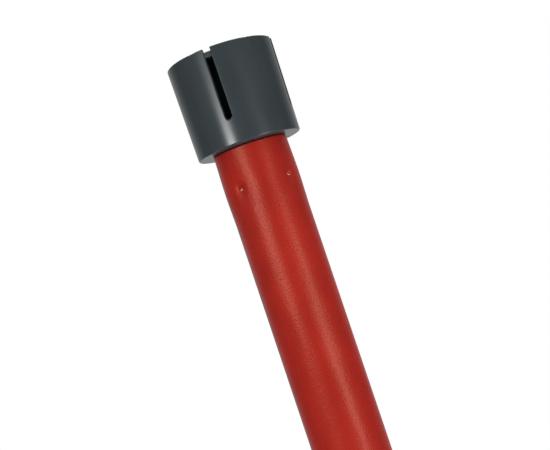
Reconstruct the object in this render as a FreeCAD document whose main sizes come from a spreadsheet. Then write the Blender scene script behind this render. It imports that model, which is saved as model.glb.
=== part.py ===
import FreeCAD, Part
import math
import os
import Sketcher

# Rod-post driver, stood mouth up on its closed, heavy end.
# Millimetres and degrees. +Z is the axis of the barrel and points to the mouth.
# The origin is the centre of the flat end that the driver stands on.

doc = FreeCAD.newDocument("post_driver")

# ---------------------------------------------------------------- driving dimensions

dimensions = [
    ("barrel_diameter", 38.1, "outside of the round steel tube"),
    ("barrel_wall", 2.1, "wall of the tube"),
    ("barrel_length", 610, "length of the tube"),
    ("barrel_edge", 0.6, "chamfer on the outer edge of the tube's mouth end"),
    ("plate_thickness", 10, "end plate, welded in the foot of the tube and ground flush"),
    ("plate_clearance", 0.1, "end plate to bore above the weld, radial"),
    ("weld_depth", 2, "weld between plate and bore, counted as part of the plate"),
    ("washer_thickness", 4, "rubber disc under the weight"),
    ("weight_length", 150, "steel slug"),
    ("weight_edge", 1, "chamfer on both ends of the slug"),
    ("weight_clearance", 0.2, "slug, rubber disc and strike cup to bore, radial"),
    ("strike_length", 44, "strike cup, overall"),
    ("pin_height", 7, "spring pin above the strike cup's foot"),
    ("pin_diameter", 6, "spring pin through the tube and the strike cup"),
    ("pin_wall", 1.2, "rolled wall of the spring pin"),
    ("pin_gap", 1, "slot along the spring pin"),
    ("pin_clearance", 0.05, "spring pin to its hole, radial"),
    ("cone_mouth", 28, "diameter of the centring cone at its top"),
    ("cone_angle", 30, "side of the cone to the axis"),
    ("socket_diameter", 13.6, "socket for the rod's end"),
    ("socket_depth", 11, "socket below the cone"),
    ("pad_diameter", 12.8, "nylon pad let into the socket's floor"),
    ("pad_thickness", 5, "the pad, flush with the socket's floor"),
    ("pad_clearance", 0.1, "pad to its pocket, radial"),
    ("stake_pairs", 2, "pairs of stakes round the tube, each from one jaw of the press"),
    ("stake_turn", 65, "first stake of a pair, round from the X axis"),
    ("stake_spread", 85, "second stake of a pair, round from the first"),
    ("stake_from_end", 19.5, "middle of the stakes below the tube's end"),
    ("bowl_diameter", 9, "shallow dish round each stake"),
    ("bowl_depth", 0.9, "depth of the dish where the punch mark starts"),
    ("punch_diameter", 2.6, "punch mark in the dish"),
    ("punch_depth", 2, "bottom of the punch mark below the tube's surface"),
    ("bump_diameter", 6, "bump that a stake raises in the bore"),
    ("bump_height", 1.2, "height of that bump"),
    ("stake_clearance", 0.3, "bump to the groove it stands in, all round"),
    ("spigot_length", 34, "mouth cup inside the tube"),
    ("spigot_clearance", 0.1, "spigot to bore, radial"),
    ("spigot_wall", 3.5, "wall of the spigot"),
    ("spigot_lead", 1, "lead-in chamfer of the spigot"),
    ("seat_gap", 0.3, "gap between the tube's end and the cup's base"),
    ("cup_height", 48, "mouth cup above the tube"),
    ("cup_base_diameter", 53.3, "mouth cup at its base"),
    ("cup_draft", 1, "moulding draft of the cup's side"),
    ("cup_wall", 3.5, "wall of the cup"),
    ("cup_floor", 4, "floor of the cup"),
    ("floor_lead", 1.5, "chamfer from the cup's floor into the spigot"),
    ("rim_edge", 0.4, "chamfer on the outer edge of the rim"),
    ("base_edge", 0.8, "chamfer on the outer edge of the base"),
    ("slot_count", 4, "slots round the cup, and keys of the disc"),
    ("slot_width", 3.7, "width of a slot"),
    ("slot_foot", 12.2, "solid band below the slots"),
    ("ledge_width", 1.3, "ledge that the disc sits on"),
    ("disc_thickness", 2.7, "plate of the guide disc"),
    ("disc_recess", 1.75, "top of the disc below the rim"),
    ("disc_clearance", 0.15, "disc to cup, radial"),
    ("key_clearance", 0.1, "key to slot, each side"),
    ("key_recess", 0.4, "tip of a key below the cup's side"),
    ("hole_diameter", 13.8, "hole for the rod"),
    ("hole_lead", 1, "countersink at the top of the hole"),
    ("collar_diameter", 20, "guide collar under the disc"),
    ("collar_length", 24, "guide collar below the plate"),
    ("rib_thickness", 2, "webs between collar and plate"),
    ("rib_reach", 10, "webs along the plate, out from the collar"),
    ("rib_drop", 16, "webs down the collar"),
]

sheet = doc.addObject("Spreadsheet::Sheet", "dims")
for row, (alias, value, meaning) in enumerate(dimensions, start=1):
    sheet.set(f"A{row}", meaning)
    sheet.set(f"B{row}", str(value))
    sheet.setAlias(f"B{row}", alias)
doc.recompute()

# ---------------------------------------------------------------- radii and levels

barrel_radius = "dims.barrel_diameter / 2"
bore_radius = f"({barrel_radius} - dims.barrel_wall)"
plate_radius = f"({bore_radius} - dims.plate_clearance)"
weight_radius = f"({bore_radius} - dims.weight_clearance)"

barrel_end = "dims.barrel_length"
plate_top = "dims.plate_thickness"
washer_top = f"({plate_top} + dims.washer_thickness)"
weight_top = f"({washer_top} + dims.weight_length)"
strike_top = f"({weight_top} + dims.strike_length)"
cone_foot = f"({strike_top} - (dims.cone_mouth - dims.socket_diameter) / 2 / tan(dims.cone_angle))"
socket_floor = f"({cone_foot} - dims.socket_depth)"
pocket_floor = f"({socket_floor} - dims.pad_thickness)"
pin_level = f"({weight_top} + dims.pin_height)"

stake_level = f"({barrel_end} - dims.stake_from_end)"
groove_depth = "(dims.bump_height + dims.stake_clearance)"
groove_half = "(dims.bump_diameter / 2 + dims.stake_clearance)"

cup_base = f"({barrel_end} + dims.seat_gap)"
cup_rim = f"({cup_base} + dims.cup_height)"
spigot_radius = f"({bore_radius} - dims.spigot_clearance)"
spigot_bore = f"({spigot_radius} - dims.spigot_wall)"
spigot_foot = f"({cup_base} - dims.spigot_length)"
floor_level = f"({cup_base} + dims.cup_floor)"
disc_top = f"({cup_rim} - dims.disc_recess)"
ledge_level = f"({disc_top} - dims.disc_thickness)"


def cup_radius(level):
    """Outside radius of the drafted cup at a level."""
    return f"(dims.cup_base_diameter / 2 + ({level} - {cup_base}) * tan(dims.cup_draft))"


ledge_inner = f"({cup_radius(ledge_level)} - dims.cup_wall)"
disc_seat = f"({ledge_inner} + dims.ledge_width)"

# ---------------------------------------------------------------- drawing helpers


def size(expression):
    """Value of an expression of the sheet, as a plain number."""
    value = sheet.evalExpression(str(expression))
    return float(getattr(value, "Value", value))


def origin_part(body, role):
    """Plane or axis of a body's own origin, found by its role."""
    for feature in body.Origin.OriginFeatures:
        if feature.Role == role:
            return feature
    raise ValueError(f"{body.Label} has no {role}")


def new_body(label):
    """Empty body that becomes one sub-part."""
    body = doc.addObject("PartDesign::Body", label)
    body.Label = label
    return body


def new_sketch(body, name, role, turn=None):
    """Sketch on one of the body's origin planes; turn swings an upright one round +Z."""
    sketch = body.newObject("Sketcher::SketchObject", name)
    sketch.AttachmentSupport = (origin_part(body, role), [""])
    sketch.MapMode = "FlatFace"
    if turn is not None:
        sketch.AttachmentOffset = FreeCAD.Placement(
            FreeCAD.Vector(0, 0, 0), FreeCAD.Rotation(FreeCAD.Vector(0, 1, 0), size(turn)))
        sketch.setExpression("AttachmentOffset.Rotation.Angle", str(turn))
    return sketch


def fix_point(sketch, element, end, kind, expression):
    """Tie one coordinate of a sketch point to the sheet, or to the axis where it is zero."""
    if expression == "0":
        axis = -2 if kind == "DistanceX" else -1
        sketch.addConstraint(Sketcher.Constraint("PointOnObject", element, end, axis))
        return
    value = size(expression)
    index = sketch.addConstraint(Sketcher.Constraint(kind, -1, 1, element, end, value))
    sketch.setExpression(f"Constraints[{index}]", expression)


def outline(sketch, points):
    """Closed outline of straight lines; each point is a pair of expressions.

    Lines between equal expressions are held upright or level instead of being sized twice.
    """
    spots = [FreeCAD.Vector(size(across), size(up), 0) for across, up in points]
    first = sketch.GeometryCount
    count = len(points)
    for index in range(count):
        line = Part.LineSegment(spots[index], spots[(index + 1) % count])
        sketch.addGeometry(line, False)
    for index in range(count):
        following = first + (index + 1) % count
        sketch.addConstraint(Sketcher.Constraint("Coincident", first + index, 2, following, 1))
    for index, (across, up) in enumerate(points):
        previous = points[index - 1]
        if index > 0 and across == previous[0]:
            sketch.addConstraint(Sketcher.Constraint("Vertical", first + index - 1))
        else:
            fix_point(sketch, first + index, 1, "DistanceX", across)
        if index > 0 and up == previous[1]:
            sketch.addConstraint(Sketcher.Constraint("Horizontal", first + index - 1))
        else:
            fix_point(sketch, first + index, 1, "DistanceY", up)


def turned(body, points):
    """Solid turned about +Z from an outline of (radius, level) pairs."""
    sketch = new_sketch(body, f"{body.Label}_outline", "XZ_Plane")
    outline(sketch, points)
    solid = body.newObject("PartDesign::Revolution", f"{body.Label}_turned")
    solid.Profile = sketch
    solid.ReferenceAxis = (sketch, ["V_Axis"])
    solid.Angle = 360
    doc.recompute()
    return solid


def around(body, name, features, count):
    """Repeat features evenly round +Z."""
    pattern = body.newObject("PartDesign::PolarPattern", name)
    pattern.Originals = features
    pattern.Axis = (origin_part(body, "Z_Axis"), [""])
    pattern.Angle = 360
    pattern.setExpression("Occurrences", count)
    body.Tip = pattern
    doc.recompute()
    return pattern


def cross_hole(body, base, name, diameter):
    """Hole right through a turned body at the level of the spring pin, along Y."""
    sketch = new_sketch(body, f"{name}_outline", "XZ_Plane")
    centre = FreeCAD.Vector(0, size(pin_level), 0)
    ring = sketch.addGeometry(Part.Circle(centre, FreeCAD.Vector(0, 0, 1), size(diameter) / 2), False)
    sketch.addConstraint(Sketcher.Constraint("PointOnObject", ring, 3, -2))
    fix_point(sketch, ring, 3, "DistanceY", pin_level)
    index = sketch.addConstraint(Sketcher.Constraint("Diameter", ring, size(diameter)))
    sketch.setExpression(f"Constraints[{index}]", diameter)
    before = base.Shape.Volume
    hole = body.newObject("PartDesign::Pocket", name)
    hole.Profile = sketch
    hole.Type = "Length"
    hole.SideType = "Symmetric"
    hole.setExpression("Length", "2 * dims.barrel_diameter")
    doc.recompute()
    if hole.Shape.Volume >= before:
        raise ValueError(f"{name} cut nothing")
    return hole


# ---------------------------------------------------------------- barrel tube


barrel = new_body("barrel_tube")
tube = turned(barrel, [
    (bore_radius, "0"),
    (barrel_radius, "0"),
    (barrel_radius, f"{barrel_end} - dims.barrel_edge"),
    (f"{barrel_radius} - dims.barrel_edge", barrel_end),
    (bore_radius, barrel_end),
])
pin_hole = "(dims.pin_diameter + 2 * dims.pin_clearance)"
cross_hole(barrel, tube, "tube_pin_hole", pin_hole)


def add_stake(number, turn):
    """One punched stake: a bump in the bore, and outside a dish with a punch mark in it."""
    bump_sketch = new_sketch(barrel, f"bump_outline_{number}", "XZ_Plane", turn)
    outline(bump_sketch, [
        (f"{bore_radius} + dims.barrel_wall / 4", stake_level),
        (f"{bore_radius} + dims.barrel_wall / 4", f"{stake_level} + dims.bump_diameter / 2"),
        (f"{bore_radius} - dims.bump_height", f"{stake_level} + dims.bump_diameter / 2"),
        (f"{bore_radius} - dims.bump_height", stake_level),
    ])
    bump = barrel.newObject("PartDesign::Revolution", f"bump_{number}")
    bump.Profile = bump_sketch
    bump.ReferenceAxis = (bump_sketch, ["Edge4"])
    bump.Angle = 360
    doc.recompute()

    dish_slope = "(dims.bowl_diameter - dims.punch_diameter) / 2 / dims.bowl_depth"
    punch_sketch = new_sketch(barrel, f"punch_outline_{number}", "XZ_Plane", turn)
    outline(punch_sketch, [
        (f"{barrel_radius} + dims.bowl_depth", stake_level),
        (f"{barrel_radius} + dims.bowl_depth",
         f"{stake_level} + dims.bowl_diameter / 2 + dims.bowl_depth * {dish_slope}"),
        (f"{barrel_radius} - dims.bowl_depth", f"{stake_level} + dims.punch_diameter / 2"),
        (f"{barrel_radius} - dims.punch_depth", f"{stake_level} + dims.punch_diameter / 2"),
        (f"{barrel_radius} - dims.punch_depth", stake_level),
    ])
    punch = barrel.newObject("PartDesign::Groove", f"punch_{number}")
    punch.Profile = punch_sketch
    punch.ReferenceAxis = (punch_sketch, ["Edge5"])
    punch.Angle = 360
    doc.recompute()
    if punch.Shape.Volume >= bump.Shape.Volume:
        raise ValueError(f"punch mark {number} cut nothing")
    return [bump, punch]


first_stake = add_stake(1, "dims.stake_turn")
second_stake = add_stake(2, "(dims.stake_turn + dims.stake_spread)")
around(barrel, "stakes", first_stake + second_stake, "dims.stake_pairs")

# ---------------------------------------------------------------- closed end and weight

# The weld, ground flush with the tube's end, fills the gap to the bore.
plate = new_body("end_plate")
turned(plate, [
    ("0", "0"),
    (bore_radius, "0"),
    (bore_radius, "dims.weld_depth"),
    (plate_radius, "dims.weld_depth"),
    (plate_radius, plate_top),
    ("0", plate_top),
])

washer = new_body("shock_disc")
turned(washer, [
    ("0", plate_top),
    (weight_radius, plate_top),
    (weight_radius, washer_top),
    ("0", washer_top),
])

weight = new_body("drive_weight")
turned(weight, [
    ("0", washer_top),
    (f"{weight_radius} - dims.weight_edge", washer_top),
    (weight_radius, f"{washer_top} + dims.weight_edge"),
    (weight_radius, f"{weight_top} - dims.weight_edge"),
    (f"{weight_radius} - dims.weight_edge", weight_top),
    ("0", weight_top),
])

# ---------------------------------------------------------------- strike cup, pad and pin

strike = new_body("strike_cup")
strike_turned = turned(strike, [
    ("0", weight_top),
    (weight_radius, weight_top),
    (weight_radius, strike_top),
    ("dims.cone_mouth / 2", strike_top),
    ("dims.socket_diameter / 2", cone_foot),
    ("dims.socket_diameter / 2", socket_floor),
    ("dims.pad_diameter / 2 + dims.pad_clearance", socket_floor),
    ("dims.pad_diameter / 2 + dims.pad_clearance", pocket_floor),
    ("0", pocket_floor),
])
cross_hole(strike, strike_turned, "strike_pin_hole", pin_hole)

pad = new_body("strike_pad")
turned(pad, [
    ("0", pocket_floor),
    ("dims.pad_diameter / 2", pocket_floor),
    ("dims.pad_diameter / 2", socket_floor),
    ("0", socket_floor),
])

# A slotted spring pin, rolled from strip, flush with the tube at both ends.
pin = new_body("spring_pin")
pin_sketch = new_sketch(pin, "pin_outline", "XZ_Plane")
pin_centre = FreeCAD.Vector(0, size(pin_level), 0)
outward = FreeCAD.Vector(0, 0, 1)
pin_outer = size("dims.pin_diameter / 2")
pin_inner = size("dims.pin_diameter / 2 - dims.pin_wall")
half_gap = size("dims.pin_gap / 2")
outer_start = math.asin(half_gap / pin_outer)
inner_start = math.asin(half_gap / pin_inner)
outer_arc = pin_sketch.addGeometry(Part.ArcOfCircle(
    Part.Circle(pin_centre, outward, pin_outer), outer_start, 2 * math.pi - outer_start), False)
inner_arc = pin_sketch.addGeometry(Part.ArcOfCircle(
    Part.Circle(pin_centre, outward, pin_inner), inner_start, 2 * math.pi - inner_start), False)
rows = [size(pin_level) + half_gap, size(pin_level) - half_gap]
reach = [(radius ** 2 - half_gap ** 2) ** 0.5 for radius in (pin_inner, pin_outer)]
upper_lip = pin_sketch.addGeometry(Part.LineSegment(
    FreeCAD.Vector(reach[0], rows[0], 0), FreeCAD.Vector(reach[1], rows[0], 0)), False)
lower_lip = pin_sketch.addGeometry(Part.LineSegment(
    FreeCAD.Vector(reach[1], rows[1], 0), FreeCAD.Vector(reach[0], rows[1], 0)), False)
for constraint in [
    Sketcher.Constraint("Coincident", upper_lip, 2, outer_arc, 1),
    Sketcher.Constraint("Coincident", outer_arc, 2, lower_lip, 1),
    Sketcher.Constraint("Coincident", lower_lip, 2, inner_arc, 2),
    Sketcher.Constraint("Coincident", inner_arc, 1, upper_lip, 1),
    Sketcher.Constraint("Coincident", outer_arc, 3, inner_arc, 3),
    Sketcher.Constraint("Horizontal", upper_lip),
    Sketcher.Constraint("Horizontal", lower_lip),
    Sketcher.Constraint("PointOnObject", outer_arc, 3, -2),
]:
    pin_sketch.addConstraint(constraint)
fix_point(pin_sketch, outer_arc, 3, "DistanceY", pin_level)
fix_point(pin_sketch, upper_lip, 1, "DistanceY", f"{pin_level} + dims.pin_gap / 2")
fix_point(pin_sketch, lower_lip, 1, "DistanceY", f"{pin_level} - dims.pin_gap / 2")
for arc, radius in [
    (outer_arc, "dims.pin_diameter / 2"),
    (inner_arc, "dims.pin_diameter / 2 - dims.pin_wall"),
]:
    index = pin_sketch.addConstraint(Sketcher.Constraint("Radius", arc, size(radius)))
    pin_sketch.setExpression(f"Constraints[{index}]", radius)
pin_solid = pin.newObject("PartDesign::Pad", "pin_roll")
pin_solid.Profile = pin_sketch
pin_solid.SideType = "Symmetric"
# The flat ends stand no further out than the round tube at the pin's own width.
pin_solid.setExpression("Length", "2 * sqrt((dims.barrel_diameter / 2) ^ 2 - (dims.pin_diameter / 2) ^ 2)")
doc.recompute()

# ---------------------------------------------------------------- mouth cup

cup = new_body("mouth_cup")
moulding = turned(cup, [
    (spigot_bore, spigot_foot),
    (f"{spigot_radius} - dims.spigot_lead", spigot_foot),
    (spigot_radius, f"{spigot_foot} + dims.spigot_lead"),
    (spigot_radius, f"{stake_level} - {groove_half}"),
    (f"{spigot_radius} - {groove_depth}", f"{stake_level} - {groove_half}"),
    (f"{spigot_radius} - {groove_depth}", f"{stake_level} + {groove_half}"),
    (spigot_radius, f"{stake_level} + {groove_half}"),
    (spigot_radius, cup_base),
    ("dims.cup_base_diameter / 2 - dims.base_edge", cup_base),
    (cup_radius(f"({cup_base} + dims.base_edge)"), f"{cup_base} + dims.base_edge"),
    (cup_radius(f"({cup_rim} - dims.rim_edge)"), f"{cup_rim} - dims.rim_edge"),
    (f"{cup_radius(cup_rim)} - dims.rim_edge", cup_rim),
    (disc_seat, cup_rim),
    (disc_seat, ledge_level),
    (ledge_inner, ledge_level),
    (f"{cup_radius(floor_level)} - dims.cup_wall", floor_level),
    (f"{spigot_bore} + dims.floor_lead", floor_level),
    (spigot_bore, f"{floor_level} - dims.floor_lead"),
])

# One slot through the front wall, with a half-round foot, and open at the rim.
slot_half = "dims.slot_width / 2"
slot_centre = f"{cup_base} + dims.slot_foot + {slot_half}"
slot_sketch = new_sketch(cup, "slot_outline", "XZ_Plane")
half = size(slot_half)
low = size(slot_centre)
high = size(f"{cup_rim} + dims.slot_width")
right = slot_sketch.addGeometry(Part.LineSegment(
    FreeCAD.Vector(half, low, 0), FreeCAD.Vector(half, high, 0)), False)
top = slot_sketch.addGeometry(Part.LineSegment(
    FreeCAD.Vector(half, high, 0), FreeCAD.Vector(-half, high, 0)), False)
left = slot_sketch.addGeometry(Part.LineSegment(
    FreeCAD.Vector(-half, high, 0), FreeCAD.Vector(-half, low, 0)), False)
foot = slot_sketch.addGeometry(Part.ArcOfCircle(
    Part.Circle(FreeCAD.Vector(0, low, 0), FreeCAD.Vector(0, 0, 1), half),
    math.pi, 2 * math.pi), False)
for constraint in [
    Sketcher.Constraint("Coincident", right, 2, top, 1),
    Sketcher.Constraint("Coincident", top, 2, left, 1),
    Sketcher.Constraint("Tangent", left, 2, foot, 1),
    Sketcher.Constraint("Tangent", foot, 2, right, 1),
    Sketcher.Constraint("Vertical", right),
    Sketcher.Constraint("Horizontal", top),
    Sketcher.Constraint("PointOnObject", foot, 3, -2),
]:
    slot_sketch.addConstraint(constraint)
fix_point(slot_sketch, right, 2, "DistanceX", slot_half)
fix_point(slot_sketch, right, 2, "DistanceY", f"{cup_rim} + dims.slot_width")
fix_point(slot_sketch, foot, 3, "DistanceY", slot_centre)

whole_cup = moulding.Shape.Volume
slot = cup.newObject("PartDesign::Pocket", "slot")
slot.Profile = slot_sketch
slot.Type = "Length"
slot.setExpression("Length", "dims.cup_base_diameter")
doc.recompute()
if slot.Shape.Volume >= whole_cup:
    raise ValueError("the slot cut nothing")
around(cup, "slots", [slot], "dims.slot_count")

# ---------------------------------------------------------------- guide disc

disc = new_body("guide_disc")
disc_radius = f"({disc_seat} - dims.disc_clearance)"
collar_foot = f"({ledge_level} - dims.collar_length)"
turned(disc, [
    ("dims.hole_diameter / 2", collar_foot),
    ("dims.collar_diameter / 2", collar_foot),
    ("dims.collar_diameter / 2", ledge_level),
    (disc_radius, ledge_level),
    (disc_radius, disc_top),
    ("dims.hole_diameter / 2 + dims.hole_lead", disc_top),
    ("dims.hole_diameter / 2", f"{disc_top} - dims.hole_lead"),
])

# A key reaches from inside the plate into each slot of the cup.
key_tip = f"({cup_radius(ledge_level)} - dims.key_recess)"
key_half = "(dims.slot_width / 2 - dims.key_clearance)"
key_sketch = new_sketch(disc, "key_outline", "XZ_Plane")
outline(key_sketch, [
    ("dims.collar_diameter / 2", ledge_level),
    (key_tip, ledge_level),
    (key_tip, disc_top),
    ("dims.collar_diameter / 2", disc_top),
])
key = disc.newObject("PartDesign::Pad", "key")
key.Profile = key_sketch
key.SideType = "Symmetric"
key.setExpression("Length", f"2 * {key_half}")
doc.recompute()
around(disc, "keys", [key], "dims.slot_count")

# Webs stiffen the collar, half way between the keys.
rib_sketch = new_sketch(disc, "rib_outline", "XZ_Plane", "180 / dims.slot_count")
inside_collar = "(dims.hole_diameter + dims.collar_diameter) / 4"
outline(rib_sketch, [
    (inside_collar, ledge_level),
    (inside_collar, f"{ledge_level} - dims.rib_drop"),
    ("dims.collar_diameter / 2", f"{ledge_level} - dims.rib_drop"),
    ("dims.collar_diameter / 2 + dims.rib_reach", ledge_level),
])
rib = disc.newObject("PartDesign::Pad", "rib")
rib.Profile = rib_sketch
rib.SideType = "Symmetric"
rib.setExpression("Length", "dims.rib_thickness")
doc.recompute()
around(disc, "ribs", [rib], "dims.slot_count")

# ---------------------------------------------------------------- check and write

doc.recompute()
for item in doc.Objects:
    if "Invalid" in item.State or "Error" in item.State:
        raise ValueError(f"{item.Label} failed: {item.State}")

os.makedirs("parts", exist_ok=True)
for body in [barrel, plate, washer, weight, strike, pad, pin, cup, disc]:
    shape = body.Shape
    if shape.isNull() or not shape.isValid() or len(shape.Solids) != 1:
        raise ValueError(f"{body.Label} is not one valid solid")
    shape.exportStep(f"parts/{body.Label}.step")
    print(f"{body.Label}: {shape.Volume / 1000:.2f} cm3, {len(shape.Faces)} faces")
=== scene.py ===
import math
import bmesh
import bpy
from mathutils import Matrix, Vector


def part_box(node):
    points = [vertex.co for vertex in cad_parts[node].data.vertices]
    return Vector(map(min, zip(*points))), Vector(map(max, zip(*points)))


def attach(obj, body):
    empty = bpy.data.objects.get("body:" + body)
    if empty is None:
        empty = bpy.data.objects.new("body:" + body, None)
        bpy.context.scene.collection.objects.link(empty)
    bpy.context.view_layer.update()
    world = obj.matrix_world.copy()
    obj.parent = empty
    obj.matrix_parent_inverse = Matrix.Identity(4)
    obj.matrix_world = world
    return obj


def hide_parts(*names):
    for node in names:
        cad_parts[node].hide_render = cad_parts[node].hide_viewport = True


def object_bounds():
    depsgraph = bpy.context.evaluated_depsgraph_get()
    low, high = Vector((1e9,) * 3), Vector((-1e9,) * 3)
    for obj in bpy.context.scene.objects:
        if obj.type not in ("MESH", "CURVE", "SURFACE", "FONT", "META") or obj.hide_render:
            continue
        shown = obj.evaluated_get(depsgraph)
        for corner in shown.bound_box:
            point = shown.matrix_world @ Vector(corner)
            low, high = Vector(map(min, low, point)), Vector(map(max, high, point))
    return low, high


# Rod-post driver: a red powder-coated barrel with a slotted grey nylon cup on its mouth.
# Metres, +Z up the barrel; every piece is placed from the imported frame.

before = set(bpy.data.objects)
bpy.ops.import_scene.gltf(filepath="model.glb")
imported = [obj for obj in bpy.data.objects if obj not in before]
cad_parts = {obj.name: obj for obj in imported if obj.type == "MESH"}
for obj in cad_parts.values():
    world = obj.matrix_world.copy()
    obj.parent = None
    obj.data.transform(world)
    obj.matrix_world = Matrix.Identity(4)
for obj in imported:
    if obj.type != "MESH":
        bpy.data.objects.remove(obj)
cadLow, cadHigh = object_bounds()
scene = bpy.context.scene
mm = 0.001

tubeLow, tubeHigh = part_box("barrel_tube")
cupLow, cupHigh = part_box("mouth_cup")
tubeRadius = tubeHigh.x
print("frame loaded, barrel radius", round(tubeRadius / mm, 2), "mm")


# Colours and nodes

def hexToLinear(code):
    channels = [int(code[start:start + 2], 16) / 255 for start in (1, 3, 5)]
    linear = [c / 12.92 if c <= 0.04045 else ((c + 0.055) / 1.055) ** 2.4 for c in channels]
    return (*linear, 1.0)


def addNode(tree, kind, settings=None, values=None, links=None):
    node = tree.nodes.new(kind)
    for name, value in (settings or {}).items():
        setattr(node, name, value)
    for socket, value in (values or {}).items():
        node.inputs[socket].default_value = value
    for socket, source in (links or {}).items():
        tree.links.new(source, node.inputs[socket])
    return node


def newMaterial(name):
    material = bpy.data.materials.new(name)
    material.use_nodes = True
    tree = material.node_tree
    tree.nodes.clear()
    shader = addNode(tree, "ShaderNodeBsdfPrincipled")
    addNode(tree, "ShaderNodeOutputMaterial", links={"Surface": shader.outputs["BSDF"]})
    coords = addNode(tree, "ShaderNodeTexCoord")
    return material, tree, shader, coords.outputs["Object"]


wavePeriod = 0.314  # a Wave texture at scale 1 repeats this often
toneStart, toneEnd = 0.35, 0.65  # the part of a noise that a colour drifts over


# Red polyester powder coat, baked on steel: semi-gloss, with a fine orange peel about 1.2 mm
# from crest to crest on a slower wave, so the gloss breaks up into a soft grain.
powderCoat = dict(
    red="#A21B11",
    deepRed="#98170E",
    driftSpacing=22 * mm,
    gloss=(1.0, 0.52, 0.38, 1.0),
    roughness=0.375,
    peelSpacing=1.2 * mm,
    peelFineness=0.65,
    waveSpacing=14 * mm,
    waveStretch=0.35,
    peelHeight=0.13 * mm,
    waveHeight=0.6 * mm,
)


def makePowderCoat():
    spec = powderCoat
    material, tree, shader, place = newMaterial("redPowderCoat")
    drift = addNode(tree, "ShaderNodeTexNoise",
                    values={"Scale": 1 / spec["driftSpacing"], "Detail": 2.0},
                    links={"Vector": place})
    tone = addNode(tree, "ShaderNodeValToRGB", links={"Fac": drift.outputs["Fac"]})
    tone.color_ramp.elements[0].position = toneStart
    tone.color_ramp.elements[1].position = toneEnd
    tone.color_ramp.elements[0].color = hexToLinear(spec["deepRed"])
    tone.color_ramp.elements[1].color = hexToLinear(spec["red"])
    tree.links.new(tone.outputs["Color"], shader.inputs["Base Color"])
    peel = addNode(tree, "ShaderNodeTexNoise",
                   values={"Scale": 1 / spec["peelSpacing"], "Detail": 2.0,
                           "Roughness": spec["peelFineness"]},
                   links={"Vector": place})
    along = addNode(tree, "ShaderNodeMapping", values={"Scale": (1.0, 1.0, spec["waveStretch"])},
                    links={"Vector": place})
    wave = addNode(tree, "ShaderNodeTexNoise",
                   values={"Scale": 1 / spec["waveSpacing"], "Detail": 1.0},
                   links={"Vector": along.outputs["Vector"]})
    slowBump = addNode(tree, "ShaderNodeBump",
                       values={"Strength": 1.0, "Distance": spec["waveHeight"]},
                       links={"Height": wave.outputs["Fac"]})
    fineBump = addNode(tree, "ShaderNodeBump",
                       values={"Strength": 1.0, "Distance": spec["peelHeight"]},
                       links={"Height": peel.outputs["Fac"], "Normal": slowBump.outputs["Normal"]})
    tree.links.new(fineBump.outputs["Normal"], shader.inputs["Normal"])
    shader.inputs["Roughness"].default_value = spec["roughness"]
    shader.inputs["Specular Tint"].default_value = spec["gloss"]
    return material


# Injection-moulded glass-filled nylon, dark grey: a satin gloss, almost even in colour, with
# a very fine moulded grain and faint flow marks up the part.
mouldedNylon = dict(
    grey="#343C3F",
    coolGrey="#31383B",
    roughness=0.25,
    grainSpacing=0.7 * mm,
    grainHeight=0.006 * mm,
    flowSpacing=9 * mm,
    flowStretch=0.25,
)


def makeMouldedNylon():
    spec = mouldedNylon
    material, tree, shader, place = newMaterial("mouldedGreyNylon")
    flowMap = addNode(tree, "ShaderNodeMapping", values={"Scale": (1.0, 1.0, spec["flowStretch"])},
                      links={"Vector": place})
    flow = addNode(tree, "ShaderNodeTexNoise",
                   values={"Scale": 1 / spec["flowSpacing"], "Detail": 3.0},
                   links={"Vector": flowMap.outputs["Vector"]})
    tone = addNode(tree, "ShaderNodeValToRGB", links={"Fac": flow.outputs["Fac"]})
    tone.color_ramp.elements[0].position = toneStart
    tone.color_ramp.elements[1].position = toneEnd
    tone.color_ramp.elements[0].color = hexToLinear(spec["coolGrey"])
    tone.color_ramp.elements[1].color = hexToLinear(spec["grey"])
    tree.links.new(tone.outputs["Color"], shader.inputs["Base Color"])
    grain = addNode(tree, "ShaderNodeTexNoise",
                    values={"Scale": 1 / spec["grainSpacing"], "Detail": 1.0},
                    links={"Vector": place})
    bump = addNode(tree, "ShaderNodeBump",
                   values={"Strength": 1.0, "Distance": spec["grainHeight"]},
                   links={"Height": grain.outputs["Fac"]})
    tree.links.new(bump.outputs["Normal"], shader.inputs["Normal"])
    shader.inputs["Roughness"].default_value = spec["roughness"]
    return material


# Mild steel turned on a lathe and left bare: grey metal with fine rings round the axis,
# which stretch a highlight along the piece.
turnedSteel = dict(
    grey="#9A9A98",
    dark="#858584",
    roughness=0.36,
    ringPitch=0.6 * mm,
    ringHeight=0.01 * mm,
)


def makeTurnedSteel():
    spec = turnedSteel
    material, tree, shader, place = newMaterial("turnedSteel")
    rings = addNode(tree, "ShaderNodeTexWave",
                    settings={"wave_type": "BANDS", "bands_direction": "Z"},
                    values={"Scale": wavePeriod / spec["ringPitch"], "Distortion": 0.6,
                            "Detail": 2.0},
                    links={"Vector": place})
    tone = addNode(tree, "ShaderNodeValToRGB", links={"Fac": rings.outputs["Fac"]})
    tone.color_ramp.elements[0].color = hexToLinear(spec["dark"])
    tone.color_ramp.elements[1].color = hexToLinear(spec["grey"])
    tree.links.new(tone.outputs["Color"], shader.inputs["Base Color"])
    bump = addNode(tree, "ShaderNodeBump",
                   values={"Strength": 1.0, "Distance": spec["ringHeight"]},
                   links={"Height": rings.outputs["Fac"]})
    tree.links.new(bump.outputs["Normal"], shader.inputs["Normal"])
    shader.inputs["Metallic"].default_value = 1.0
    shader.inputs["Roughness"].default_value = spec["roughness"]
    return material


# Natural cast nylon, turned: off-white and slightly waxy, with faint tool rings.
naturalNylon = dict(
    white="#DDD8CA",
    warm="#D2CCBB",
    roughness=0.45,
    ringPitch=0.5 * mm,
    glow=0.15,
    glowDepth=1.5 * mm,
)


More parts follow.
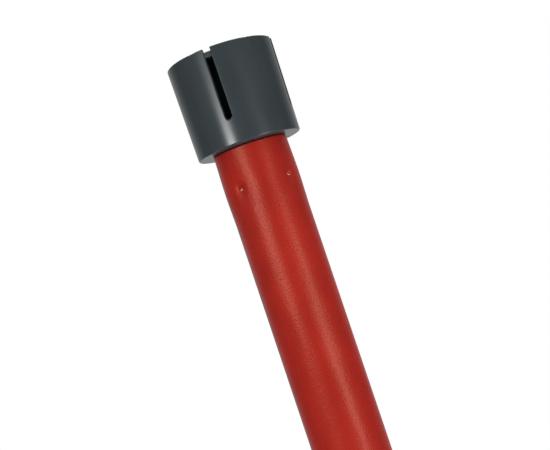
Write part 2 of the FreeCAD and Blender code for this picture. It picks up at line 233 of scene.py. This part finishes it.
def makeNaturalNylon():
    spec = naturalNylon
    material, tree, shader, place = newMaterial("naturalNylon")
    rings = addNode(tree, "ShaderNodeTexWave",
                    settings={"wave_type": "RINGS", "rings_direction": "Z"},
                    values={"Scale": wavePeriod / spec["ringPitch"], "Distortion": 0.4},
                    links={"Vector": place})
    tone = addNode(tree, "ShaderNodeValToRGB", links={"Fac": rings.outputs["Fac"]})
    tone.color_ramp.elements[0].color = hexToLinear(spec["warm"])
    tone.color_ramp.elements[1].color = hexToLinear(spec["white"])
    tree.links.new(tone.outputs["Color"], shader.inputs["Base Color"])
    shader.inputs["Roughness"].default_value = spec["roughness"]
    shader.inputs["Subsurface Weight"].default_value = spec["glow"]
    shader.inputs["Subsurface Scale"].default_value = spec["glowDepth"]
    return material


# Black nitrile rubber, die-cut from sheet: matt, with a fine cloth-like grain from its press.
sheetRubber = dict(
    black="#17181A",
    dusty="#232427",
    roughness=0.75,
    grainSpacing=0.8 * mm,
    grainHeight=0.03 * mm,
)


def makeSheetRubber():
    spec = sheetRubber
    material, tree, shader, place = newMaterial("sheetRubber")
    grain = addNode(tree, "ShaderNodeTexNoise",
                    values={"Scale": 1 / spec["grainSpacing"], "Detail": 3.0},
                    links={"Vector": place})
    tone = addNode(tree, "ShaderNodeValToRGB", links={"Fac": grain.outputs["Fac"]})
    tone.color_ramp.elements[0].color = hexToLinear(spec["black"])
    tone.color_ramp.elements[1].color = hexToLinear(spec["dusty"])
    tree.links.new(tone.outputs["Color"], shader.inputs["Base Color"])
    bump = addNode(tree, "ShaderNodeBump",
                   values={"Strength": 1.0, "Distance": spec["grainHeight"]},
                   links={"Height": grain.outputs["Fac"]})
    tree.links.new(bump.outputs["Normal"], shader.inputs["Normal"])
    shader.inputs["Roughness"].default_value = spec["roughness"]
    return material


redCoat = makePowderCoat()
greyNylon = makeMouldedNylon()
bareSteel = makeTurnedSteel()
whiteNylon = makeNaturalNylon()
blackRubber = makeSheetRubber()
print("materials made")


# Mesh helpers

sharpAngle = 35  # degrees; an edge that turns more than this stays sharp in the shading
bevelAngle = 38  # degrees; an edge that turns more than this is rounded
sameSpot = 0.001 * mm  # points of a new shape nearer than this are one point
sameSpotInCopy = 0.002 * mm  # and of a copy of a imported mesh
flatAngle = 1  # degrees; facets of a copy that turn less than this are one flat face
ringClearance = 0.05 * mm  # a ring keeps this far from the outline's own points


def roundedOutline(corners, steps):
    # corners are (radius, level, roundness); a round corner becomes an arc of that radius
    points = []
    for index, (x, z, roundness) in enumerate(corners):
        here = Vector((x, z))
        if roundness == 0:
            points.append(here)
            continue
        before = (Vector(corners[index - 1][:2]) - here).normalized()
        after = (Vector(corners[(index + 1) % len(corners)][:2]) - here).normalized()
        half = before.angle(after) / 2
        centre = here + (before + after).normalized() * (roundness / math.sin(half))
        start = here + before * (roundness / math.tan(half)) - centre
        finish = here + after * (roundness / math.tan(half)) - centre
        turn = start.angle_signed(finish)
        for step in range(steps + 1):
            points.append(centre + Matrix.Rotation(-turn * step / steps, 2) @ start)
    return points


def spunPiece(name, points, segments, start=0):
    # start turns the first column round, in steps of the spin
    shape = bmesh.new()
    verts = [shape.verts.new((point[0], 0, point[1])) for point in points]
    edges = [shape.edges.new(pair) for pair in zip(verts, verts[1:] + verts[:1])]
    first = Matrix.Rotation(start * 2 * math.pi / segments, 3, "Z")
    bmesh.ops.rotate(shape, matrix=first, verts=shape.verts)
    bmesh.ops.spin(shape, geom=verts + edges, cent=(0, 0, 0), axis=(0, 0, 1),
                   angle=2 * math.pi, steps=segments, use_merge=True)
    bmesh.ops.remove_doubles(shape, verts=shape.verts, dist=sameSpot)
    bmesh.ops.recalc_face_normals(shape, faces=shape.faces)
    return pieceFrom(name, shape)


def pieceFrom(name, shape):
    mesh = bpy.data.meshes.new(name)
    shape.to_mesh(mesh)
    shape.free()
    piece = bpy.data.objects.new(name, mesh)
    scene.collection.objects.link(piece)
    return piece


def settle(piece):
    # the modifiers become the mesh, so that nothing stays live on the piece
    bpy.context.view_layer.update()
    graph = bpy.context.evaluated_depsgraph_get()
    finished = bpy.data.meshes.new_from_object(piece.evaluated_get(graph))
    piece.modifiers.clear()
    piece.data = finished
    return piece


def cutWith(piece, cutters):
    for cutter in cutters:
        cut = piece.modifiers.new("cut", "BOOLEAN")
        cut.operation = "DIFFERENCE"
        cut.solver = "EXACT"
        cut.object = cutter
    settle(piece)
    for cutter in cutters:
        bpy.data.objects.remove(cutter)


def withRings(points, levels):
    # adds a point to the outline wherever one of the levels crosses it
    rings = []
    for here, after in zip(points, points[1:] + points[:1]):
        rings.append(here)
        low, high = sorted((here[1], after[1]))
        crossed = [level for level in levels if low + ringClearance < level < high - ringClearance]
        for level in sorted(crossed, reverse=here[1] > after[1]):
            share = (level - here[1]) / (after[1] - here[1])
            rings.append(Vector(here).lerp(Vector(after), share))
    return rings


def roundEdges(piece, width, segments):
    bevel = piece.modifiers.new("edges", "BEVEL")
    bevel.width = width
    bevel.segments = segments
    bevel.limit_method = "ANGLE"
    bevel.angle_limit = math.radians(bevelAngle)
    bevel.use_clamp_overlap = False
    bevel.harden_normals = False
    settle(piece)


def smooth(piece):
    for face in piece.data.polygons:
        face.use_smooth = True
    piece.data.set_sharp_from_angle(angle=math.radians(sharpAngle))
    weights = piece.modifiers.new("weights", "WEIGHTED_NORMAL")
    weights.keep_sharp = True
    settle(piece)


def dress(piece, material, body, slot, *nodes):
    piece.data.materials.clear()
    piece.data.materials.append(material)
    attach(piece, body)
    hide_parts(*nodes)


# Barrel tube, with the punched stakes that hold the cup

barrel = dict(
    wall=2.1 * mm,
    mouthRound=0.45 * mm,
    footRound=0.35 * mm,
    boreRound=0.3 * mm,
    arcSteps=5,
    segments=512,
    stakeFromEnd=19.5 * mm,
    stakeTurns=(65, 150, 245, 330),
    stakeReach=10 * mm,
    outerRow=0.25 * mm,
    innerReach=4 * mm,
    innerRow=0.6 * mm,
    swellTurn=math.radians(17.5),
    swellReach=18.5 * mm,
    swellHeight=0.35 * mm,
    saddleReach=13 * mm,
    saddleDepth=0.4 * mm,
    markRise=0.5 * mm,
    dishAside=4.2 * mm,
    dishAbove=4.1 * mm,
    dishBelow=8.9 * mm,
    dishDepth=0.8 * mm,
    punchAside=2.0 * mm,
    punchAbove=1.06 * mm,
    punchBelow=1.73 * mm,
    punchDepth=1.1 * mm,
    punchBlunt=0.15,
    bumpRadius=3.2 * mm,
    bumpHeight=1.2 * mm,
    pinHoleRadius=3.05 * mm,
    pinHoleLevel=171 * mm,
    pinHoleSegments=48,
)


def bowl(distance, radius):
    # a smooth bowl, 1 in the middle and 0 at its radius
    share = min(distance / radius, 1)
    return (1 - share ** 2) ** 2


def spread(middle, reach, step):
    rows = round(2 * reach / step)
    return [middle - reach + row * step for row in range(rows + 1)]


def dentAt(around, rise, outside):
    # how far a stake pushes the wall in: outside it is a wide saddle, a dish, and the mark of a
    # blunt punch that leaned, so it is steeper above than below; inside it is a round bump
    spec = barrel
    distance = math.hypot(around, rise)
    if not outside:
        return spec["bumpHeight"] * bowl(distance, spec["bumpRadius"])
    rise -= spec["markRise"]
    dishReach, punchReach = spec["dishAbove"], spec["punchAbove"]
    if rise < 0:
        dishReach, punchReach = spec["dishBelow"], spec["punchBelow"]
    dish = bowl(math.hypot(around / spec["dishAside"], rise / dishReach), 1)
    fromMiddle = math.hypot(around / spec["punchAside"], rise / punchReach, spec["punchBlunt"])
    pit = max(1 - fromMiddle, 0)
    return spec["saddleDepth"] * bowl(distance, spec["saddleReach"]) \
        + spec["dishDepth"] * dish + spec["punchDepth"] * pit


def swellAt(turn, rise):
    # the two jaws of the press flatten the tube front and back, so it stands out at the sides
    sideways = max(math.cos(2 * (turn - barrel["swellTurn"])), 0)
    return barrel["swellHeight"] * sideways * bowl(abs(rise), barrel["swellReach"])


def makeBarrel():
    spec = barrel
    bore = tubeRadius - spec["wall"]
    stakeLevel = tubeHigh.z - spec["stakeFromEnd"]
    corners = [
        (bore, tubeLow.z, 0),
        (tubeRadius, tubeLow.z, spec["footRound"]),
        (tubeRadius, tubeHigh.z, spec["mouthRound"]),
        (bore, tubeHigh.z, spec["boreRound"]),
    ]
    points = roundedOutline(corners, spec["arcSteps"])
    fine = spread(stakeLevel, spec["stakeReach"], spec["outerRow"])
    wide = [level for level in spread(stakeLevel, spec["swellReach"], spec["innerRow"])
            if abs(level - stakeLevel) > spec["stakeReach"] + spec["outerRow"]]
    outer = [Vector((tubeRadius, level)) for level in sorted(fine + wide)]
    # the outline runs down the bore, so these levels do too
    down = spread(stakeLevel, -spec["innerReach"], -spec["innerRow"])
    inner = [Vector((bore, level)) for level in down]
    # the bore's corner and the foot's arc come before the outer wall
    footEnd = 1 + spec["arcSteps"] + 1
    points = points[:footEnd] + outer + points[footEnd:] + inner
    piece = spunPiece("barrelTube", points, spec["segments"])
    for vert in piece.data.vertices:
        radius = math.hypot(vert.co.x, vert.co.y)
        rise = vert.co.z - stakeLevel
        if abs(rise) > spec["swellReach"]:
            continue
        turn = math.degrees(math.atan2(vert.co.y, vert.co.x))
        outside = radius > bore + spec["wall"] / 2
        if outside:
            swell = 1 + swellAt(math.radians(turn), rise) / radius
            vert.co.x *= swell
            vert.co.y *= swell
        for stake in spec["stakeTurns"]:
            around = math.radians((turn - stake + 180) % 360 - 180) * radius
            dent = dentAt(around, rise, outside)
            vert.co.x *= 1 - dent / radius
            vert.co.y *= 1 - dent / radius
    hole = bmesh.new()
    bmesh.ops.create_cone(hole, cap_ends=True, segments=spec["pinHoleSegments"],
                          radius1=spec["pinHoleRadius"], radius2=spec["pinHoleRadius"],
                          depth=4 * tubeRadius)
    place = Matrix.Translation((0, 0, spec["pinHoleLevel"])) @ Matrix.Rotation(math.pi / 2, 4, "X")
    bmesh.ops.transform(hole, matrix=place, verts=hole.verts)
    cutWith(piece, [pieceFrom("holeCutter", hole)])
    smooth(piece)
    dress(piece, redCoat, "barrel", "red_powder_coat", "barrel_tube")
    print("barrel tube:", len(piece.data.polygons), "faces")


makeBarrel()


# Mouth cup: flange on the tube's end, spigot inside it, four spring fingers between slots

cup = dict(
    height=48 * mm,
    baseRadius=26.65 * mm,
    draft=math.radians(1),
    wall=3.5 * mm,
    floor=4 * mm,
    floorRound=2 * mm,
    floorLead=1.5 * mm,
    baseRound=0.8 * mm,
    spigotRadius=16.85 * mm,
    spigotWall=3.5 * mm,
    spigotLead=1 * mm,
    grooveFoot=587.2 * mm,
    grooveTop=593.8 * mm,
    grooveDepth=1.5 * mm,
    seatDepth=4.45 * mm,
    ledge=1.3 * mm,
    slotWidth=3.7 * mm,
    slotFoot=12.2 * mm,
    slotCount=4,
    slotSegments=48,
    cutterStart=12 * mm,
    cutterLength=25 * mm,
    edgeRound=0.25 * mm,
    edgeSegments=3,
    arcSteps=6,
    ringsAboveBase=(3, 6, 9, 11.6, 14.6, 18, 22, 26, 30, 34, 38, 42),
    segments=236,  # no column of the mesh falls beside an edge of a slot
    startStep=0.5,
)


def cupRadius(level):
    base = cupHigh.z - cup["height"]
    return cup["baseRadius"] + (level - base) * math.tan(cup["draft"])


def makeSlotCutter(turn):
    spec = cup
    half = spec["slotWidth"] / 2
    foot = cupHigh.z - spec["height"] + spec["slotFoot"] + half
    shape = bmesh.new()
    bmesh.ops.create_circle(shape, cap_ends=True, segments=spec["slotSegments"], radius=half)
    for vert in shape.verts:
        if vert.co.y > half * 0.001:  # the upper half of the circle, drawn up past the rim
            vert.co.y += cupHigh.z - foot + spec["slotWidth"]
    up = Matrix.Rotation(math.pi / 2, 4, "X")
    bmesh.ops.transform(shape, matrix=up, verts=shape.verts)
    bmesh.ops.translate(shape, vec=(0, -2 * half - spec["cutterStart"], foot), verts=shape.verts)
    wide = bmesh.ops.extrude_face_region(shape, geom=shape.faces[:])
    moved = [item for item in wide["geom"] if isinstance(item, bmesh.types.BMVert)]
    bmesh.ops.translate(shape, vec=(0, -spec["cutterLength"], 0), verts=moved)
    bmesh.ops.rotate(shape, matrix=Matrix.Rotation(turn, 3, "Z"), verts=shape.verts)
    bmesh.ops.recalc_face_normals(shape, faces=shape.faces)
    return pieceFrom("slotCutter", shape)


def makeCup():
    spec = cup
    base = cupHigh.z - spec["height"]
    floor = base + spec["floor"]
    ledge = cupHigh.z - spec["seatDepth"]
    spigotBore = spec["spigotRadius"] - spec["spigotWall"]
    grooveRadius = spec["spigotRadius"] - spec["grooveDepth"]
    innerAtLedge = cupRadius(ledge) - spec["wall"]
    seat = innerAtLedge + spec["ledge"]
    corners = [
        (spigotBore, cupLow.z, 0),
        (spec["spigotRadius"] - spec["spigotLead"], cupLow.z, 0),
        (spec["spigotRadius"], cupLow.z + spec["spigotLead"], 0),
        (spec["spigotRadius"], spec["grooveFoot"], 0),
        (grooveRadius, spec["grooveFoot"], 0),
        (grooveRadius, spec["grooveTop"], 0),
        (spec["spigotRadius"], spec["grooveTop"], 0),
        (spec["spigotRadius"], base, 0),
        (cupRadius(base), base, spec["baseRound"]),
        (cupRadius(cupHigh.z), cupHigh.z, 0),
        (seat, cupHigh.z, 0),
        (seat, ledge, 0),
        (innerAtLedge, ledge, 0),
        (cupRadius(floor) - spec["wall"], floor, spec["floorRound"]),
        (spigotBore + spec["floorLead"], floor, 0),
        (spigotBore, floor - spec["floorLead"], 0),
    ]
    rings = [base + above * mm for above in spec["ringsAboveBase"]]
    points = withRings(roundedOutline(corners, spec["arcSteps"]), rings)
    piece = spunPiece("mouthCup", points, spec["segments"], spec["startStep"])
    turns = [2 * math.pi * number / spec["slotCount"] for number in range(spec["slotCount"])]
    cutWith(piece, [makeSlotCutter(turn) for turn in turns])
    roundEdges(piece, spec["edgeRound"], spec["edgeSegments"])
    smooth(piece)
    dress(piece, greyNylon, "barrel", "grey_nylon", "mouth_cup")
    print("mouth cup:", len(piece.data.polygons), "faces")


makeCup()


# Pieces that keep their CAD shape: a merged copy, its edges broken as a lathe or mould leaves them

guideDisc = dict(node="guide_disc", name="guideDisc", edgeRound=0.15 * mm, material=greyNylon,
                 body="guide_disc", slot="grey_nylon")
endPlate = dict(node="end_plate", name="endPlate", edgeRound=0.1 * mm, material=redCoat,
                body="barrel", slot="red_powder_coat")
springPin = dict(node="spring_pin", name="springPin", edgeRound=0.1 * mm, material=redCoat,
                 body="barrel", slot="red_powder_coat")


def makeSoftened(node, name, edgeRound, material, body, slot, edgeSegments=2):
    shape = bmesh.new()
    shape.from_mesh(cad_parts[node].data)
    bmesh.ops.remove_doubles(shape, verts=shape.verts, dist=sameSpotInCopy)
    # flat faces lose their inner edges, so that only true edges are rounded
    bmesh.ops.dissolve_limit(shape, angle_limit=math.radians(flatAngle),
                             verts=shape.verts, edges=shape.edges)
    piece = pieceFrom(name, shape)
    roundEdges(piece, edgeRound, edgeSegments)
    smooth(piece)
    dress(piece, material, body, slot, node)
    print(name + ":", len(piece.data.polygons), "faces")


for spec in (guideDisc, endPlate, springPin):
    makeSoftened(**spec)

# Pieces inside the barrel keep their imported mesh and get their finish
innerFinishes = {
    "drive_weight": bareSteel,
    "strike_cup": bareSteel,
    "strike_pad": whiteNylon,
    "shock_disc": blackRubber,
}
for node, material in innerFinishes.items():
    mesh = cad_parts[node].data
    mesh.materials.clear()
    mesh.materials.append(material)
print("inner pieces finished")


# Camera: level with the upper tube and looking a little up, leaned over to the left

shot = dict(
    azimuth=math.radians(10.7),
    distance=461 * mm,
    heightBelowRim=104.9 * mm,
    aimBelowRim=89.35 * mm,
    aimAside=-0.57 * mm,
    lean=math.radians(18.6),
    lens=60.3,
    sensor=36,
    clipStart=10 * mm,
)


def makeCamera():
    spec = shot
    place = Vector((spec["distance"] * math.sin(spec["azimuth"]),
                    -spec["distance"] * math.cos(spec["azimuth"]),
                    cadHigh.z - spec["heightBelowRim"]))
    aim = Vector((spec["aimAside"] * math.cos(spec["azimuth"]),
                  spec["aimAside"] * math.sin(spec["azimuth"]),
                  cadHigh.z - spec["aimBelowRim"]))
    level = (aim - place).to_track_quat("-Z", "Y").to_matrix()
    camera = bpy.data.objects.new("camera", bpy.data.cameras.new("camera"))
    camera.data.lens = spec["lens"]
    camera.data.sensor_width = spec["sensor"]
    camera.data.clip_start = spec["clipStart"]
    leaned = level @ Matrix.Rotation(-spec["lean"], 3, "Z")
    camera.matrix_world = Matrix.Translation(place) @ leaned.to_4x4()
    scene.collection.objects.link(camera)
    scene.camera = camera


makeCamera()


# Studio: a pale sweep behind and a darker room on the camera's side; to the left a low strip
# light level with the cup, to the right a tall one beside the tube, and at each side a small
# lamp that only shows in gloss, as the bright dot in a punched mark

studio = dict(
    roomTone=0.06,
    sweepTone=0.57,
    sweepStart=0.3,
    sweepFull=0.95,
    fillTone=0.62,
    floorColour="#E6E6E4",
    floorRoughness=0.8,
    floorRadius=1.2,
    floorSolid=0.35,
    strips=[
        dict(turn=-33, distance=1.1, width=0.29, height=0.10, middle=0.65, power=3.9),
        dict(turn=39, distance=1.1, width=0.32, height=0.48, middle=0.33, power=4.6),
    ],
    rimColour=(1.0, 0.92, 0.88),
    rimAim=0.6,
    rimLights=[
        dict(turn=-84, distance=0.64, level=1.485, size=0.2, power=15),
        dict(turn=81, distance=0.72, level=1.425, size=0.2, power=12),
    ],
)


def makeWorld():
    world = bpy.data.worlds.new("studio")
    scene.world = world
    world.use_nodes = True
    tree = world.node_tree
    tree.nodes.clear()
    coords = addNode(tree, "ShaderNodeTexCoord")
    away = (-math.sin(shot["azimuth"]), math.cos(shot["azimuth"]), 0)
    facing = addNode(tree, "ShaderNodeVectorMath", settings={"operation": "DOT_PRODUCT"},
                     links={0: coords.outputs["Generated"]})
    facing.inputs[1].default_value = away
    sweep = addNode(tree, "ShaderNodeMapRange", settings={"interpolation_type": "SMOOTHSTEP"},
                    values={"From Min": studio["sweepStart"], "From Max": studio["sweepFull"],
                            "To Min": studio["roomTone"], "To Max": studio["sweepTone"]},
                    links={"Value": facing.outputs["Value"]})
    # gloss sees the sweep, everything else an even fill, and the camera plain white
    rays = addNode(tree, "ShaderNodeLightPath")
    mirrored = addNode(tree, "ShaderNodeMath", settings={"operation": "MAXIMUM"},
                       links={0: rays.outputs["Is Glossy Ray"],
                              1: rays.outputs["Is Transmission Ray"]})
    soft = addNode(tree, "ShaderNodeMix", values={"A": studio["fillTone"]},
                   links={"Factor": mirrored.outputs["Value"], "B": sweep.outputs["Result"]})
    level = addNode(tree, "ShaderNodeMix", values={"B": 1.0},
                    links={"Factor": rays.outputs["Is Camera Ray"], "A": soft.outputs["Result"]})
    light = addNode(tree, "ShaderNodeBackground", values={"Color": (1, 1, 1, 1)},
                    links={"Strength": level.outputs["Result"]})
    addNode(tree, "ShaderNodeOutputWorld", links={"Surface": light.outputs["Background"]})


def makeStrip(turn, distance, width, height, middle, power):
    azimuth = shot["azimuth"] + math.radians(turn)
    place = Vector((distance * math.sin(azimuth), -distance * math.cos(azimuth), middle))
    lamp = bpy.data.lights.new("strip", "AREA")
    lamp.shape = "RECTANGLE"
    lamp.size = width
    lamp.size_y = height
    lamp.energy = power
    strip = bpy.data.objects.new("strip", lamp)
    strip.matrix_world = Matrix.Translation(place) @ Matrix.Rotation(azimuth, 4, "Z") @ \
        Matrix.Rotation(math.pi / 2, 4, "X")
    strip.visible_camera = False
    scene.collection.objects.link(strip)


def makeRimLight(turn, distance, level, size, power):
    azimuth = shot["azimuth"] + math.radians(turn)
    place = Vector((distance * math.sin(azimuth), -distance * math.cos(azimuth), level))
    lamp = bpy.data.lights.new("rimLight", "AREA")
    lamp.size = size
    lamp.energy = power
    lamp.color = studio["rimColour"]
    light = bpy.data.objects.new("rimLight", lamp)
    down = (Vector((0, 0, studio["rimAim"])) - place).to_track_quat("-Z", "Y").to_matrix()
    light.matrix_world = Matrix.Translation(place) @ down.to_4x4()
    light.visible_camera = False
    light.visible_diffuse = False
    scene.collection.objects.link(light)


def makeFloor():
    shape = bmesh.new()
    bmesh.ops.create_circle(shape, cap_ends=True, segments=96, radius=studio["floorRadius"])
    floor = pieceFrom("floor", shape)
    material, tree, shader, place = newMaterial("paleFloor")
    shader.inputs["Base Color"].default_value = hexToLinear(studio["floorColour"])
    shader.inputs["Roughness"].default_value = studio["floorRoughness"]
    # the floor fades out to the white behind it
    inPlane = addNode(tree, "ShaderNodeVectorMath", settings={"operation": "LENGTH"},
                      links={0: place})
    fade = addNode(tree, "ShaderNodeMapRange", settings={"interpolation_type": "SMOOTHSTEP"},
                   values={"From Min": studio["floorSolid"] * studio["floorRadius"],
                           "From Max": studio["floorRadius"]},
                   links={"Value": inPlane.outputs["Value"]})
    clear = addNode(tree, "ShaderNodeBsdfTransparent")
    blend = addNode(tree, "ShaderNodeMixShader",
                    links={0: fade.outputs["Result"], 1: shader.outputs["BSDF"],
                           2: clear.outputs["BSDF"]})
    tree.links.new(blend.outputs["Shader"], tree.nodes["Material Output"].inputs["Surface"])
    floor.data.materials.append(material)


makeWorld()
for strip in studio["strips"]:
    makeStrip(**strip)
for light in studio["rimLights"]:
    makeRimLight(**light)
makeFloor()
scene.view_settings.view_transform = "Standard"
print("camera and studio set")
